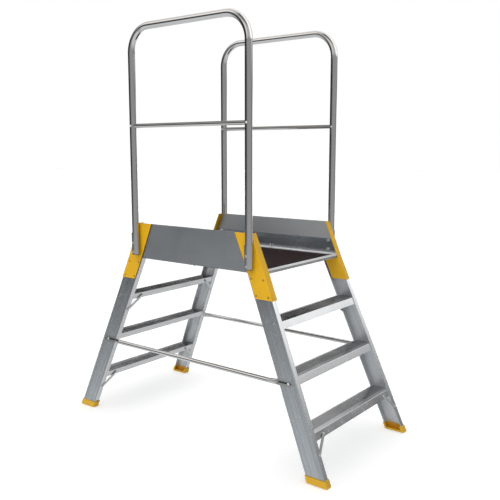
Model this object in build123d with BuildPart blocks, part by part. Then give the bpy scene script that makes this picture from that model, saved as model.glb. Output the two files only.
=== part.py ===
# Double-sided step ladder with a railed platform, one STEP file for each physical piece.
# Frame: X is the walking direction, Y runs across the ladder, Z is up.
# The origin lies on the floor under the middle of the platform. All lengths are in mm.
# Corner pieces are drawn once for the corner at +X and -Y and mirrored to the other three.
from build123d import *
import math
import os

# Ladder slopes and heights
LEAN = 23.0            # stile lean towards the middle of the ladder, degrees from upright
SPLAY = 3.43           # inward tilt of the stile webs, degrees from upright
FOOT_FRONT = 793.6     # x of the stile front face on the floor
BASE_HALF = 375.8      # y of the stile web outer face on the floor
FIRST_RISE = 208.0     # floor to first tread, also top tread to deck
TREAD_RISE = 225.0     # tread to tread
TREADS = 3             # treads on each side

# Stile channel
STILE_DEPTH = 87.0     # across the web, square to the stile
STILE_FLANGE = 27.0    # web outer face to flange edge
WEB_T = 3.0
FLANGE_T = 2.5
GROOVE_IN = 20.0       # decorative groove, distance from the stile edge
GROOVE_W = 1.6
GROOVE_D = 0.7

# Foot shoe
FOOT_SOLE = 8.0        # floor to stile end
FOOT_TOP = 30.0
FOOT_WALL = 6.0
FOOT_ROUND = 8.0
FOOT_EDGE = 3.0        # rounding of the sole edge
FOOT_PLUG = 7.0        # plug left against the web inside the channel

# Tread extrusion
TREAD_NOSE = 24.0      # plain nosing strip
TREAD_BACK = 5.0       # plain strip at the rear edge
TREAD_FRONT_H = 31.0
TREAD_REAR_H = 29.8
NOSE_ROUND = 2.0       # rounding of the nosing
TREAD_WALL = 3.0
TREAD_LIP = 11.0       # return under the front and rear walls
RIB_PITCH = 7.0
RIB_W = 3.4
RIB_H = 0.5
RIB_DROP = 0.9         # groove floor below the nosing
PORT_R = 5.5           # screw port outside radius
PORT_DROP = 8.3        # screw port axis below the tread top
PORT_IN = 27.0         # screw port axis from the stile edges
SCREW_R = 2.4          # tread screw shank
SCREW_L = 22.0
CSK_R = 5.8            # countersunk head radius

# Corner bracket
BRACKET_T = 4.0
BRACKET_SKIRT = 109.0  # deck seat to the lower edge
BRACKET_SHORT = 2.5    # rear edge of the outer plate in front of the stile rear face
INNER_SHORT = 14.5     # rear edge of the inner plate in front of the stile rear face
BRACKET_ROUND = 4.0    # outside bend
SEAT_TAB = 30.0        # width of the deck seat
SEAT_FROM = 22.0       # front end of the deck seat behind the stile front
SEAT_SHORT = 2.0       # rear end of the deck seat in front of the inner plate edge
SEAT_SCREW_IN = 14.0   # seat screws from the seat ends
RIVET_EDGE = 14.25     # bracket rivets from the stile edges
RIVET_LOW = 13.0       # lower rivets above the bracket edge
RIVET_HIGH = 23.0      # upper rivets below the deck seat

# Platform
DECK_T = 10.0
TOE_GAP = 2.0          # toe board above the deck seat
TOE_H = 175.0
TOE_T = 3.0
ANGLE_T = 3.0          # side angle
ANGLE_H = 80.0
ANGLE_LEDGE = 20.0     # ledge on the deck
ANGLE_ROUND = 5.0      # inside corner of the side angle
EDGE_T = 2.0           # end angle
EDGE_W = 34.0
GAP = 0.3              # fitting gap between neighbouring trims
STIFF_X = 150.0        # stiffener position
STIFF_W = 40.0
STIFF_H = 20.0
STIFF_T = 2.0
STIFF_SHORT = 96.0     # stiffener ends from the deck edges

# Handrails
TUBE_R = 16.85
TUBE_T = 2.0
POST_IN = 67.3         # post axis behind the stile front at deck height
POST_DIP = 12.0        # post end above the deck
RAIL_RISE = 1107.0     # deck to hand rail axis
BEND_R = 120.0
MID_R = 10.0
MID_T = 1.5
MID_RISE = 645.0       # deck to mid rail axis
MID_PAST = 6.0         # mid rail end past the post axis
PLUG_T = 3.0
SADDLE_T = 3.5
SADDLE_H = 107.0
SADDLE_FROM = 2.0      # saddle edges outside the post axis
POST_BOLT_LOW = 25.0   # lower post bolt above the deck
POST_BOLT_EDGE = 9.0   # upper post bolt below the upper edge of the side angle

# Tie bars
TIE_DROP = 30.0        # second tread to tie bar
TIE_R = 10.5
TIE_OUT = 11.5         # bar axis to web face
TIE_END = 20.0         # flattened end starts this far behind the stile front
TIE_FLAT = 80.0        # length of the flattened end
TIE_NECK = 39.0        # length of the change from flat to round
TIE_FLAT_H = 24.0
TIE_FLAT_T = 8.0
TIE_RIM = 3.8          # rim round the pressed hollow
TIE_DISH = 5.0         # depth of the pressed hollow
TIE_BOLT = 42.0        # bolt behind the stile front

# Braces
BRACE_W = 14.0
BRACE_T = 3.0
BRACE_DROP = 66.0      # height between the two brace holes
BRACE_LAND = 12.0      # lower hole inside the flange edge
BRACE_IN = 62.0        # upper hole inside the flange edge
BRACE_TOP = 0.56       # upper hole below the tread top, as a share of the tread wall height

# Fasteners
BOLT_R = 4.0
BOLT_HEAD_R = 6.5
BOLT_HEAD_H = 5.0
NUT_R = 7.5
NUT_H = 6.5
THREAD_OUT = 1.5       # bolt end past its nut
RIVET_R = 2.9
RIVET_HEAD_R = 5.5
RIVET_HEAD_H = 3.0
TAIL_R = 4.4
TAIL_H = 2.0
WOOD_R = 2.2           # seat screw
WOOD_HEAD_R = 4.5
WOOD_HEAD_H = 2.4
WOOD_L = 8.0           # screw length in the deck
DECK_BOLT_R = 3.0      # bolt through deck and ledge at mid length
DECK_NUT_R = 5.8
DECK_NUT_H = 5.0
DECK_BOLT_UP = 20.0    # bolt end above the ledge
PLAY = 0.15            # radial play of every fastener hole

# Values that follow from the dimensions above
lean, splay = math.radians(LEAN), math.radians(SPLAY)
TAN_LEAN, TAN_SPLAY = math.tan(lean), math.tan(splay)
STILE_W = STILE_DEPTH / math.cos(lean)
FLANGE_W = FLANGE_T / math.cos(lean)
PLATE_X = BRACKET_T / math.cos(lean)
PLATE_Y = BRACKET_T / math.cos(splay)
TREAD_Z = [FIRST_RISE + i * TREAD_RISE for i in range(TREADS)]
DECK_TOP = TREAD_Z[-1] + FIRST_RISE
SEAT_Z = DECK_TOP - DECK_T
BRACKET_LOW = SEAT_Z - BRACKET_SKIRT
BRACKET_REAR = STILE_W - BRACKET_SHORT
BRACKET_INNER = STILE_W - INNER_SHORT
TOE_LOW = SEAT_Z + TOE_GAP
TOE_TOP = TOE_LOW + TOE_H
POST_LOW = DECK_TOP + POST_DIP
RAIL_Z = DECK_TOP + RAIL_RISE
MID_Z = DECK_TOP + MID_RISE
TIE_Z = TREAD_Z[1] - TIE_DROP
UP = (-TAN_LEAN, TAN_SPLAY, 1.0)
UP_PLUMB = (-TAN_LEAN, 0.0, 1.0)


def front(z):
    """x of the stile front face at height z."""
    return FOOT_FRONT - TAN_LEAN * z


def web(z):
    """Distance of the stile web outer face from the middle plane at height z."""
    return BASE_HALF - TAN_SPLAY * z


TOE_OUT = web(SEAT_Z)
TOE_IN = TOE_OUT - TOE_T
ANGLE_IN = TOE_IN - ANGLE_T
POST_X = front(DECK_TOP) - POST_IN
POST_Y = TOE_OUT + PLATE_Y + TUBE_R
END_X = front(DECK_TOP + EDGE_T) - GAP
LEDGE_Z = DECK_TOP + ANGLE_T
DECK_BOLT_Y = ANGLE_IN - ANGLE_ROUND - DECK_NUT_R - GAP
SEAT_X0 = front(SEAT_Z) - BRACKET_INNER + SEAT_SHORT
SEAT_X1 = front(SEAT_Z) - SEAT_FROM
SEAT_Y = web(SEAT_Z) - STILE_FLANGE - PLATE_Y

os.makedirs("parts", exist_ok=True)


def save(piece, name):
    piece.part.label = name
    export_step(piece.part, "parts/" + name + ".step")


def moved(shape, side_x, side_y):
    """The +X, -Y corner shape carried to another corner by mirroring."""
    if side_x < 0:
        shape = mirror(shape, about=Plane.YZ, mode=Mode.PRIVATE)
    if side_y > 0:
        shape = mirror(shape, about=Plane.XZ, mode=Mode.PRIVATE)
    return shape


CORNERS = {"right_near": (1, -1), "right_far": (1, 1), "left_near": (-1, -1), "left_far": (-1, 1)}


def save_corners(piece, name):
    """One node at each of the four corners."""
    for corner, (side_x, side_y) in CORNERS.items():
        with BuildPart() as copy:
            add(moved(piece.part, side_x, side_y))
        save(copy, name + "_" + corner)


def save_group(piece, name, sides=tuple(CORNERS.values())):
    """All copies of a fastener set in one node."""
    with BuildPart() as group:
        for side_x, side_y in sides:
            add(moved(piece.part, side_x, side_y))
    save(group, name)


def level_point(s, t, z):
    """Point at height z, s behind the stile front face and t inside the web outer face."""
    return (front(z) - s, -web(z) + t)


def slope_length(direction, z0, z1):
    return (z1 - z0) * Vector(direction).length


def web_plane(s, z):
    """Plane on the web outer face, local z pointing out of the ladder."""
    x, y = level_point(s, 0, z)
    return Plane(origin=(x, y, z), x_dir=(1, 0, 0), z_dir=(0, -math.cos(splay), math.sin(splay)))


def face_plane(y, z, rear):
    """Plane on the front or rear flange face, local z pointing away from the stile, local y up."""
    side = -1 if rear else 1
    x = front(z) - (STILE_W if rear else 0.0)
    normal = (side * math.cos(lean), 0, side * math.sin(lean))
    return Plane(origin=(x, y, z), x_dir=(0, side, 0), z_dir=normal)


def pin(radius, top, bottom, mode=Mode.ADD):
    """Cylinder on local z between two heights."""
    with Locations((0, 0, (top + bottom) / 2)):
        Cylinder(radius, top - bottom, mode=mode)


def head(radius, height, base, mode=Mode.ADD):
    """Domed fastener head, a cap of a ball, standing on a local height."""
    ball = (radius ** 2 + height ** 2) / (2 * height)
    rim = math.degrees(math.asin(1 - height / ball))
    with Locations((0, 0, base)):
        Sphere(ball, rim, 90, align=(Align.CENTER, Align.CENTER, Align.MIN), mode=mode)


def rivet(grip_top, grip_bottom):
    """Rivet closing everything between two local heights."""
    pin(RIVET_R, grip_top, grip_bottom)
    head(RIVET_HEAD_R, RIVET_HEAD_H, grip_top)
    pin(TAIL_R, grip_bottom, grip_bottom - TAIL_H)


def brace_holes(tread, rear):
    """Planes on the flange face at the lower and the upper hole of one brace."""
    wall = TREAD_REAR_H if rear else TREAD_FRONT_H
    z_up = TREAD_Z[tread] - BRACE_TOP * wall
    z_low = z_up - BRACE_DROP
    edge = web(z_low) - STILE_FLANGE
    return face_plane(-(edge + BRACE_LAND), z_low, rear), face_plane(-(edge - BRACE_IN), z_up, rear)


BRACES = {"front_low": (0, False), "rear_low": (0, True), "rear_high": (TREADS - 1, True)}
RIVETS = [(s, z) for s in (RIVET_EDGE, STILE_W - RIVET_EDGE)
          for z in (BRACKET_LOW + RIVET_LOW, SEAT_Z - RIVET_HIGH)]
PORTS = [(s, z) for s in (PORT_IN, STILE_W - PORT_IN) for z in TREAD_Z]
POST_BOLTS = [(POST_X, DECK_TOP + rise) for rise in (POST_BOLT_LOW, ANGLE_H - POST_BOLT_EDGE)]
SEAT_SCREWS = [(x, SEAT_Y - SEAT_TAB / 2) for x in (SEAT_X0 + SEAT_SCREW_IN, SEAT_X1 - SEAT_SCREW_IN)]


def out_plane(x, y, z):
    """Upright plane on the near side, local z pointing out of the ladder."""
    return Plane(origin=(x, -y, z), x_dir=(1, 0, 0), z_dir=(0, -1, 0))


def port_plane(s, z):
    """Plane at a tread screw, on the web outer face, local z along the tread outwards."""
    zp = z - PORT_DROP
    return out_plane(front(zp) - s, web(zp), zp)


# Stiles: aluminium channels, web outwards, two shallow grooves along the web
channel = [(0, 0), (GROOVE_IN, 0), (GROOVE_IN, GROOVE_D), (GROOVE_IN + GROOVE_W, GROOVE_D),
           (GROOVE_IN + GROOVE_W, 0), (STILE_W - GROOVE_IN - GROOVE_W, 0),
           (STILE_W - GROOVE_IN - GROOVE_W, GROOVE_D), (STILE_W - GROOVE_IN, GROOVE_D),
           (STILE_W - GROOVE_IN, 0), (STILE_W, 0), (STILE_W, STILE_FLANGE),
           (STILE_W - FLANGE_W, STILE_FLANGE), (STILE_W - FLANGE_W, WEB_T), (FLANGE_W, WEB_T),
           (FLANGE_W, STILE_FLANGE), (0, STILE_FLANGE)]
with BuildPart() as stile:
    with BuildSketch(Plane.XY.offset(FOOT_SOLE)):
        with BuildLine():
            Polyline(*[level_point(s, t, FOOT_SOLE) for s, t in channel], close=True)
        make_face()
    extrude(amount=slope_length(UP, FOOT_SOLE, SEAT_Z), dir=UP)
with BuildPart() as stile_blank:
    add(stile.part)
with stile:
    for s, z in RIVETS:
        with Locations(web_plane(s, z)):
            pin(RIVET_R + PLAY, WEB_T, -2 * WEB_T, Mode.SUBTRACT)
    with Locations(web_plane(TIE_BOLT, TIE_Z)):
        pin(BOLT_R + PLAY, WEB_T, -2 * WEB_T, Mode.SUBTRACT)
    for s, z in PORTS:
        with Locations(port_plane(s, z)):
            pin(SCREW_R + PLAY, WEB_T, -2 * WEB_T, Mode.SUBTRACT)
            with Locations((0, 0, -WEB_T / 2)):
                Cone(SCREW_R + PLAY, CSK_R + PLAY, WEB_T + GAP, mode=Mode.SUBTRACT)
    for tread, rear in BRACES.values():
        with Locations(brace_holes(tread, rear)[0]):
            pin(RIVET_R + PLAY, FLANGE_T, -2 * FLANGE_T, Mode.SUBTRACT)
save_corners(stile, "stile")

# Feet: moulded shoes that close round the stile end, open pocket on the inner side
with BuildPart() as foot:
    with BuildSketch(Plane.XY):
        with BuildLine():
            Polyline(*[level_point(s, t, 0) for s, t in (
                (-FOOT_WALL, -FOOT_WALL), (STILE_W + FOOT_WALL, -FOOT_WALL),
                (STILE_W + FOOT_WALL, STILE_FLANGE + FOOT_WALL),
                (-FOOT_WALL, STILE_FLANGE + FOOT_WALL))], close=True)
        make_face()
        fillet(vertices(), FOOT_ROUND)
    extrude(amount=slope_length(UP, 0, FOOT_TOP), dir=UP)
    fillet(faces().sort_by(Axis.Z)[0].edges(), FOOT_EDGE)
    fillet(faces().sort_by(Axis.Z)[-1].edges(), FOOT_EDGE / 2)
    pocket = [(FLANGE_W + FOOT_WALL, WEB_T + FOOT_PLUG), (STILE_W - FLANGE_W - FOOT_WALL, WEB_T + FOOT_PLUG),
              (STILE_W - FLANGE_W - FOOT_WALL, STILE_FLANGE + 2 * FOOT_WALL),
              (FLANGE_W + FOOT_WALL, STILE_FLANGE + 2 * FOOT_WALL)]
    with BuildSketch(Plane.XY.offset(FOOT_SOLE + FOOT_EDGE)):
        with BuildLine():
            Polyline(*[level_point(s, t, FOOT_SOLE + FOOT_EDGE) for s, t in pocket], close=True)
        make_face()
    extrude(amount=slope_length(UP, 0, FOOT_TOP), dir=UP, mode=Mode.SUBTRACT)
    add(stile_blank.part, mode=Mode.SUBTRACT)
save_corners(foot, "foot")


def tread_outline(z_top):
    """Closed section of one tread, walls parallel to the stile, ribbed between nosing and back strip."""
    s0, s1 = FLANGE_W, STILE_W - FLANGE_W
    floor = -RIB_DROP
    under = floor - TREAD_WALL
    pts = [(s0, 0), (s0 + TREAD_NOSE, 0)]
    start, stop = s0 + TREAD_NOSE, s1 - TREAD_BACK
    ribs = int((stop - start) // RIB_PITCH)
    margin = (stop - start - ribs * RIB_PITCH + RIB_PITCH - RIB_W) / 2
    pts.append((start, floor))
    for i in range(ribs):
        a = start + margin + i * RIB_PITCH
        pts += [(a, floor), (a, floor + RIB_H), (a + RIB_W, floor + RIB_H), (a + RIB_W, floor)]
    pts += [(stop, floor), (stop, 0), (s1, 0), (s1, -TREAD_REAR_H), (s1 - TREAD_LIP, -TREAD_REAR_H),
            (s1 - TREAD_LIP, TREAD_WALL - TREAD_REAR_H), (s1 - TREAD_WALL, TREAD_WALL - TREAD_REAR_H),
            (s1 - TREAD_WALL, under), (s0 + TREAD_WALL, under),
            (s0 + TREAD_WALL, TREAD_WALL - TREAD_FRONT_H), (s0 + TREAD_LIP, TREAD_WALL - TREAD_FRONT_H),
            (s0 + TREAD_LIP, -TREAD_FRONT_H), (s0, -TREAD_FRONT_H)]
    return [(front(z_top + dz) - s, z_top + dz) for s, dz in pts]


# Treads: ribbed aluminium extrusions, ends inside the channels, two screw ports under the top
for number, z_top in enumerate(TREAD_Z):
    with BuildPart() as tread:
        with BuildSketch(Plane.XZ):
            with BuildLine():
                Polyline(*tread_outline(z_top), close=True)
            make_face()
            fillet(vertices().sort_by_distance((front(z_top) - FLANGE_W, z_top))[0], NOSE_ROUND)
            for s in (PORT_IN, STILE_W - PORT_IN):
                with Locations((front(z_top - PORT_DROP) - s, z_top - PORT_DROP)):
                    Circle(PORT_R)
                    Circle(SCREW_R + PLAY, mode=Mode.SUBTRACT)
        extrude(amount=BASE_HALF, both=True)
        low, high = z_top - 2 * TREAD_FRONT_H, z_top + TREAD_FRONT_H
        ends = [(-web(low) + WEB_T, low), (web(low) - WEB_T, low), (web(high) - WEB_T, high),
                (-web(high) + WEB_T, high)]
        with BuildSketch(Plane.YZ):
            with BuildLine():
                Polyline(*ends, close=True)
            make_face()
        extrude(amount=FOOT_FRONT, mode=Mode.INTERSECT)
        for rear in [is_rear for index, is_rear in BRACES.values() if index == number]:
            near = brace_holes(number, rear)[1]
            far = Plane(origin=(near.origin.X, -near.origin.Y, near.origin.Z),
                        x_dir=near.x_dir, z_dir=near.z_dir)
            with Locations(near, far):
                pin(RIVET_R + PLAY, 2 * FLANGE_T, -4 * FLANGE_T, Mode.SUBTRACT)
    save(tread, "tread_right_%d" % (number + 1))
    with BuildPart() as other:
        add(moved(tread.part, -1, -1))
    save(other, "tread_left_%d" % (number + 1))

# Corner brackets: folded steel, a U round the stile head, an outer plate and front strip above it
u_section = [(BRACKET_REAR, -PLATE_Y), (-PLATE_X, -PLATE_Y), (-PLATE_X, STILE_FLANGE + PLATE_Y),
             (BRACKET_INNER, STILE_FLANGE + PLATE_Y), (BRACKET_INNER, STILE_FLANGE), (0, STILE_FLANGE),
             (0, 0), (BRACKET_REAR, 0)]
l_section = u_section[:3] + [(0, STILE_FLANGE + PLATE_Y), (0, 0), (BRACKET_REAR, 0)]
with BuildPart() as bracket:
    for section, z0, z1, way in ((u_section, BRACKET_LOW, SEAT_Z, UP),
                                 (l_section, SEAT_Z, TOE_TOP, UP_PLUMB)):
        with BuildSketch(Plane.XY.offset(z0)):
            with BuildLine():
                Polyline(*[level_point(s, t, z0) for s, t in section], close=True)
            make_face()
            fillet(vertices().sort_by_distance(level_point(-PLATE_X, -PLATE_Y, z0))[0], BRACKET_ROUND)
        extrude(amount=slope_length(way, z0, z1), dir=way)
    with Locations(((SEAT_X0 + SEAT_X1) / 2, -SEAT_Y - PLATE_Y / 2, SEAT_Z)):
        Box(SEAT_X1 - SEAT_X0, SEAT_TAB + PLATE_Y / 2, BRACKET_T, align=(Align.CENTER, Align.MIN, Align.MAX))
    for s, z in RIVETS:
        with Locations(web_plane(s, z)):
            pin(RIVET_R + PLAY, 2 * BRACKET_T, -WEB_T, Mode.SUBTRACT)
    for x, z in POST_BOLTS:
        with Locations(out_plane(x, TOE_OUT, z)):
            pin(BOLT_R + PLAY, 2 * BRACKET_T, -BRACKET_T, Mode.SUBTRACT)
    for x, y in SEAT_SCREWS:
        with Locations((x, -y, SEAT_Z)):
            pin(WOOD_R + PLAY, BRACKET_T, -2 * BRACKET_T, Mode.SUBTRACT)
save_corners(bracket, "bracket")


def side_plate(z0, z1, y_out, thick, mode=Mode.ADD):
    """Upright plate on the near side between the bracket front strips, ends parallel to the stiles."""
    with BuildSketch(Plane.XZ.offset(y_out)) as outline:
        with BuildLine():
            Polyline((-front(z0), z0), (front(z0), z0), (front(z1), z1), (-front(z1), z1), close=True)
        make_face()
    extrude(outline.sketch, amount=-thick, mode=mode)


def post_bolt_holes(deep):
    """Bolt holes of both posts through an upright plate on the near side."""
    with Locations(*[out_plane(side * x, TOE_OUT, z) for side in (-1, 1) for x, z in POST_BOLTS]):
        pin(BOLT_R + PLAY, deep, -deep, Mode.SUBTRACT)


# Toe boards: plain aluminium plates behind the bracket plates
with BuildPart() as toe_board:
    side_plate(TOE_LOW, TOE_TOP, TOE_OUT, TOE_T)
    post_bolt_holes(2 * TOE_T)

# Side angles: a tall leg up the toe board and a narrow ledge on the deck, rounded between them
with BuildPart() as side_angle:
    with BuildSketch(Plane.YZ):
        with BuildLine():
            Polyline((-TOE_IN, DECK_TOP), (-TOE_IN + ANGLE_LEDGE, DECK_TOP), (-TOE_IN + ANGLE_LEDGE, LEDGE_Z),
                     (-ANGLE_IN, LEDGE_Z), (-ANGLE_IN, DECK_TOP + ANGLE_H), (-TOE_IN, DECK_TOP + ANGLE_H),
                     close=True)
        make_face()
        fillet(vertices().sort_by_distance((-ANGLE_IN, LEDGE_Z))[0], ANGLE_ROUND)
    extrude(amount=END_X - EDGE_W - GAP, both=True)
    side_plate(DECK_TOP, DECK_TOP + ANGLE_H, TOE_IN, ANGLE_LEDGE, Mode.INTERSECT)
    side_plate(DECK_TOP, DECK_TOP + ANGLE_H, TOE_IN, ANGLE_T)
    post_bolt_holes(2 * (TOE_T + ANGLE_T))
    with Locations((0, -DECK_BOLT_Y, DECK_TOP)):
        pin(DECK_BOLT_R + PLAY, 2 * ANGLE_T, -ANGLE_T, Mode.SUBTRACT)

# End angles: thin trims closing the two ends of the deck
with BuildPart() as end_angle:
    with Locations((END_X, 0, DECK_TOP)):
        Box(EDGE_W, 2 * (ANGLE_IN - GAP), EDGE_T, align=(Align.MAX, Align.CENTER, Align.MIN))
    with Locations((END_X, 0, SEAT_Z)):
        Box(EDGE_T, 2 * (ANGLE_IN - GAP), DECK_T + EDGE_T, align=(Align.MAX, Align.CENTER, Align.MIN))

# Deck: plywood panel resting on the stile heads and bracket seats
with BuildPart() as deck:
    with Locations((0, 0, SEAT_Z)):
        Box(2 * (END_X - EDGE_T), 2 * (TOE_IN - GAP), DECK_T, align=(Align.CENTER, Align.CENTER, Align.MIN))
    for side_x, side_y in CORNERS.values():
        for x, y in SEAT_SCREWS:
            with Locations((side_x * x, side_y * y, SEAT_Z)):
                pin(WOOD_R + PLAY, WOOD_L, 0, Mode.SUBTRACT)
    with Locations((0, -DECK_BOLT_Y, SEAT_Z), (0, DECK_BOLT_Y, SEAT_Z)):
        pin(DECK_BOLT_R + PLAY, 2 * DECK_T, -DECK_T, Mode.SUBTRACT)

# Stiffeners: box sections bonded under the deck
with BuildPart() as stiffener:
    stiff_half = TOE_IN - GAP - STIFF_SHORT
    with Locations((STIFF_X, 0, SEAT_Z)):
        Box(STIFF_W, 2 * stiff_half, STIFF_H, align=(Align.CENTER, Align.CENTER, Align.MAX))
    with Locations((STIFF_X, 0, SEAT_Z - STIFF_T)):
        Box(STIFF_W - 2 * STIFF_T, 2 * stiff_half, STIFF_H - 2 * STIFF_T,
            align=(Align.CENTER, Align.CENTER, Align.MAX), mode=Mode.SUBTRACT)

# Handrails: one bent tube on each side, posts bolted to the outside of the bracket plates
with BuildPart() as handrail:
    with BuildLine() as rail_path:
        FilletPolyline((-POST_X, -POST_Y, POST_LOW), (-POST_X, -POST_Y, RAIL_Z),
                       (POST_X, -POST_Y, RAIL_Z), (POST_X, -POST_Y, POST_LOW), radius=BEND_R)
    with BuildSketch(Plane.XY.offset(POST_LOW)):
        with Locations((-POST_X, -POST_Y)):
            Circle(TUBE_R)
            Circle(TUBE_R - TUBE_T, mode=Mode.SUBTRACT)
    sweep(path=rail_path.line)
    with Locations(*[out_plane(side * x, POST_Y, z) for side in (-1, 1) for x, z in POST_BOLTS]):
        pin(BOLT_R + PLAY, 2 * TUBE_R, -2 * TUBE_R, Mode.SUBTRACT)
    with Locations(*[out_plane(side * POST_X, POST_Y, MID_Z) for side in (-1, 1)]):
        pin(RIVET_R + PLAY, 2 * TUBE_R, -2 * TUBE_R, Mode.SUBTRACT)
    with Locations(Plane(origin=(0, -POST_Y, MID_Z), x_dir=(0, 1, 0), z_dir=(1, 0, 0))):
        pin(MID_R, POST_X, -POST_X, Mode.SUBTRACT)

# Mid rails: thin tubes pushed into the posts and riveted there
with BuildPart() as mid_rail:
    with Locations(Plane(origin=(0, -POST_Y, MID_Z), x_dir=(0, 1, 0), z_dir=(1, 0, 0))):
        pin(MID_R, POST_X + MID_PAST, -POST_X - MID_PAST)
        pin(MID_R - MID_T, POST_X + MID_PAST, -POST_X - MID_PAST, Mode.SUBTRACT)
    with Locations(*[out_plane(side * POST_X, POST_Y, MID_Z) for side in (-1, 1)]):
        pin(RIVET_R + PLAY, 2 * MID_R, -2 * MID_R, Mode.SUBTRACT)

# Post plugs: plastic caps under the four posts
with BuildPart() as post_plug:
    with Locations((POST_X, -POST_Y, POST_LOW)):
        pin(TUBE_R, 0, -PLUG_T)
        pin(TUBE_R - TUBE_T - PLAY, 2 * PLUG_T, 0)

# Post saddles: half-round shells that spread the bolt load on the outside of the posts
with BuildPart() as saddle:
    with BuildSketch(Plane.XY.offset(POST_LOW)):
        with Locations((POST_X, -POST_Y)):
            Circle(TUBE_R + SADDLE_T)
            Circle(TUBE_R, mode=Mode.SUBTRACT)
        with Locations((POST_X, -POST_Y - SADDLE_FROM)):
            Rectangle(4 * TUBE_R, 4 * TUBE_R, align=(Align.CENTER, Align.MAX), mode=Mode.INTERSECT)
    extrude(amount=SADDLE_H)
    with Locations(*[out_plane(x, POST_Y, z) for x, z in POST_BOLTS]):
        pin(BOLT_R + PLAY, 2 * TUBE_R, 0, Mode.SUBTRACT)

# Tie bars: round bars with pressed flat ends bolted to the stile webs
tie_plane = Plane(origin=(0, -web(TIE_Z), TIE_Z), x_dir=(1, 0, 0), z_dir=web_plane(0, TIE_Z).z_dir)
flat_out = front(TIE_Z) - TIE_END
flat_in = flat_out - TIE_FLAT
neck_in = flat_in - TIE_NECK
with BuildPart() as tie_half:
    with BuildSketch(tie_plane):
        with Locations(((flat_out + flat_in) / 2, 0)):
            Rectangle(TIE_FLAT, TIE_FLAT_H)
        fillet(vertices().group_by(Axis.X)[-1], TIE_FLAT_H / 3)
    extrude(amount=TIE_FLAT_T)
    with BuildSketch(tie_plane.offset(TIE_FLAT_T)):
        with Locations(((flat_out + flat_in - TIE_RIM) / 2, 0)):
            Rectangle(TIE_FLAT - TIE_RIM, TIE_FLAT_H - 2 * TIE_RIM)
        fillet(vertices().group_by(Axis.X)[-1], TIE_FLAT_H / 4)
    extrude(amount=-TIE_DISH, mode=Mode.SUBTRACT)
    flat_mid = Plane(origin=tie_plane.from_local_coords((flat_in, 0, TIE_FLAT_T / 2)),
                     x_dir=tie_plane.y_dir, z_dir=(1, 0, 0))
    bar_mid = Plane(origin=tie_plane.from_local_coords((neck_in, 0, TIE_OUT)),
                    x_dir=tie_plane.y_dir, z_dir=(1, 0, 0))
    with BuildSketch(bar_mid):
        Circle(TIE_R)
    with BuildSketch(flat_mid):
        RectangleRounded(TIE_FLAT_H, TIE_FLAT_T, TIE_FLAT_T / 3)
    loft()
    with BuildSketch(bar_mid):
        Circle(TIE_R)
    extrude(amount=-neck_in)
    with Locations(web_plane(TIE_BOLT, TIE_Z)):
        pin(BOLT_R + PLAY, 2 * TIE_FLAT_T, -WEB_T, Mode.SUBTRACT)
with BuildPart() as tie_bar:
    add(tie_half.part)
    add(moved(tie_half.part, -1, -1))

for piece, name in ((toe_board, "toe_board"), (side_angle, "side_angle"), (handrail, "handrail"),
                    (mid_rail, "mid_rail"), (tie_bar, "tie_bar")):
    for side, side_y in (("near", -1), ("far", 1)):
        with BuildPart() as copy:
            add(moved(piece.part, 1, side_y))
        save(copy, name + "_" + side)
for piece, name in ((end_angle, "end_angle"), (stiffener, "stiffener")):
    for side, side_x in (("right", 1), ("left", -1)):
        with BuildPart() as copy:
            add(moved(piece.part, side_x, -1))
        save(copy, name + "_" + side)
save(deck, "deck_panel")
save_group(post_plug, "post_plugs")
save_group(saddle, "post_saddles")

# Braces: flat strips from the tread walls down to the flanges, with a spacer at the tread
for name, (tread, rear) in BRACES.items():
    low, high = brace_holes(tread, rear)
    upper = low.to_local_coords(high.origin)
    with BuildPart() as brace:
        with BuildSketch(low):
            SlotCenterPoint((upper.X / 2, upper.Y / 2), (upper.X, upper.Y), BRACE_W)
            with Locations((0, 0), (upper.X, upper.Y)):
                Circle(RIVET_R + PLAY, mode=Mode.SUBTRACT)
        extrude(amount=BRACE_T)
    save_corners(brace, "brace_" + name)
with BuildPart() as brace_spacer:
    for tread, rear in BRACES.values():
        with Locations(brace_holes(tread, rear)[1]):
            pin(RIVET_HEAD_R, 0, -FLANGE_T)
            pin(RIVET_R + PLAY, FLANGE_T, -2 * FLANGE_T, Mode.SUBTRACT)
save_group(brace_spacer, "brace_spacers")
with BuildPart() as brace_rivet:
    for tread, rear in BRACES.values():
        low, high = brace_holes(tread, rear)
        with Locations(low):
            rivet(BRACE_T, -FLANGE_T)
        with Locations(high):
            rivet(BRACE_T, -FLANGE_T - TREAD_WALL * math.cos(lean))
save_group(brace_rivet, "brace_rivets")

# Fasteners that share a node with their twins
with BuildPart() as bracket_rivet:
    for s, z in RIVETS:
        with Locations(web_plane(s, z)):
            rivet(BRACKET_T, -WEB_T)
save_group(bracket_rivet, "bracket_rivets")

with BuildPart() as tread_screw:
    for s, z in PORTS:
        with Locations(port_plane(s, z)):
            with Locations((0, 0, -WEB_T / 2)):
                Cone(SCREW_R, CSK_R - 2 * PLAY, WEB_T - GAP)
            pin(SCREW_R, -WEB_T / 2, -SCREW_L)
save_group(tread_screw, "tread_screws")

with BuildPart() as post_bolt:
    reach = POST_Y + TUBE_R + SADDLE_T
    for x, z in POST_BOLTS:
        with Locations(out_plane(x, reach, z)):
            head(BOLT_HEAD_R, BOLT_HEAD_H, 0)
            pin(BOLT_R, 0, ANGLE_IN - reach - NUT_H - THREAD_OUT)
save_group(post_bolt, "post_bolts")

with BuildPart() as rail_rivet:
    with Locations(out_plane(POST_X, POST_Y, MID_Z)):
        rivet(TUBE_R, -TUBE_R)
save_group(rail_rivet, "rail_rivets")

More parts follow.
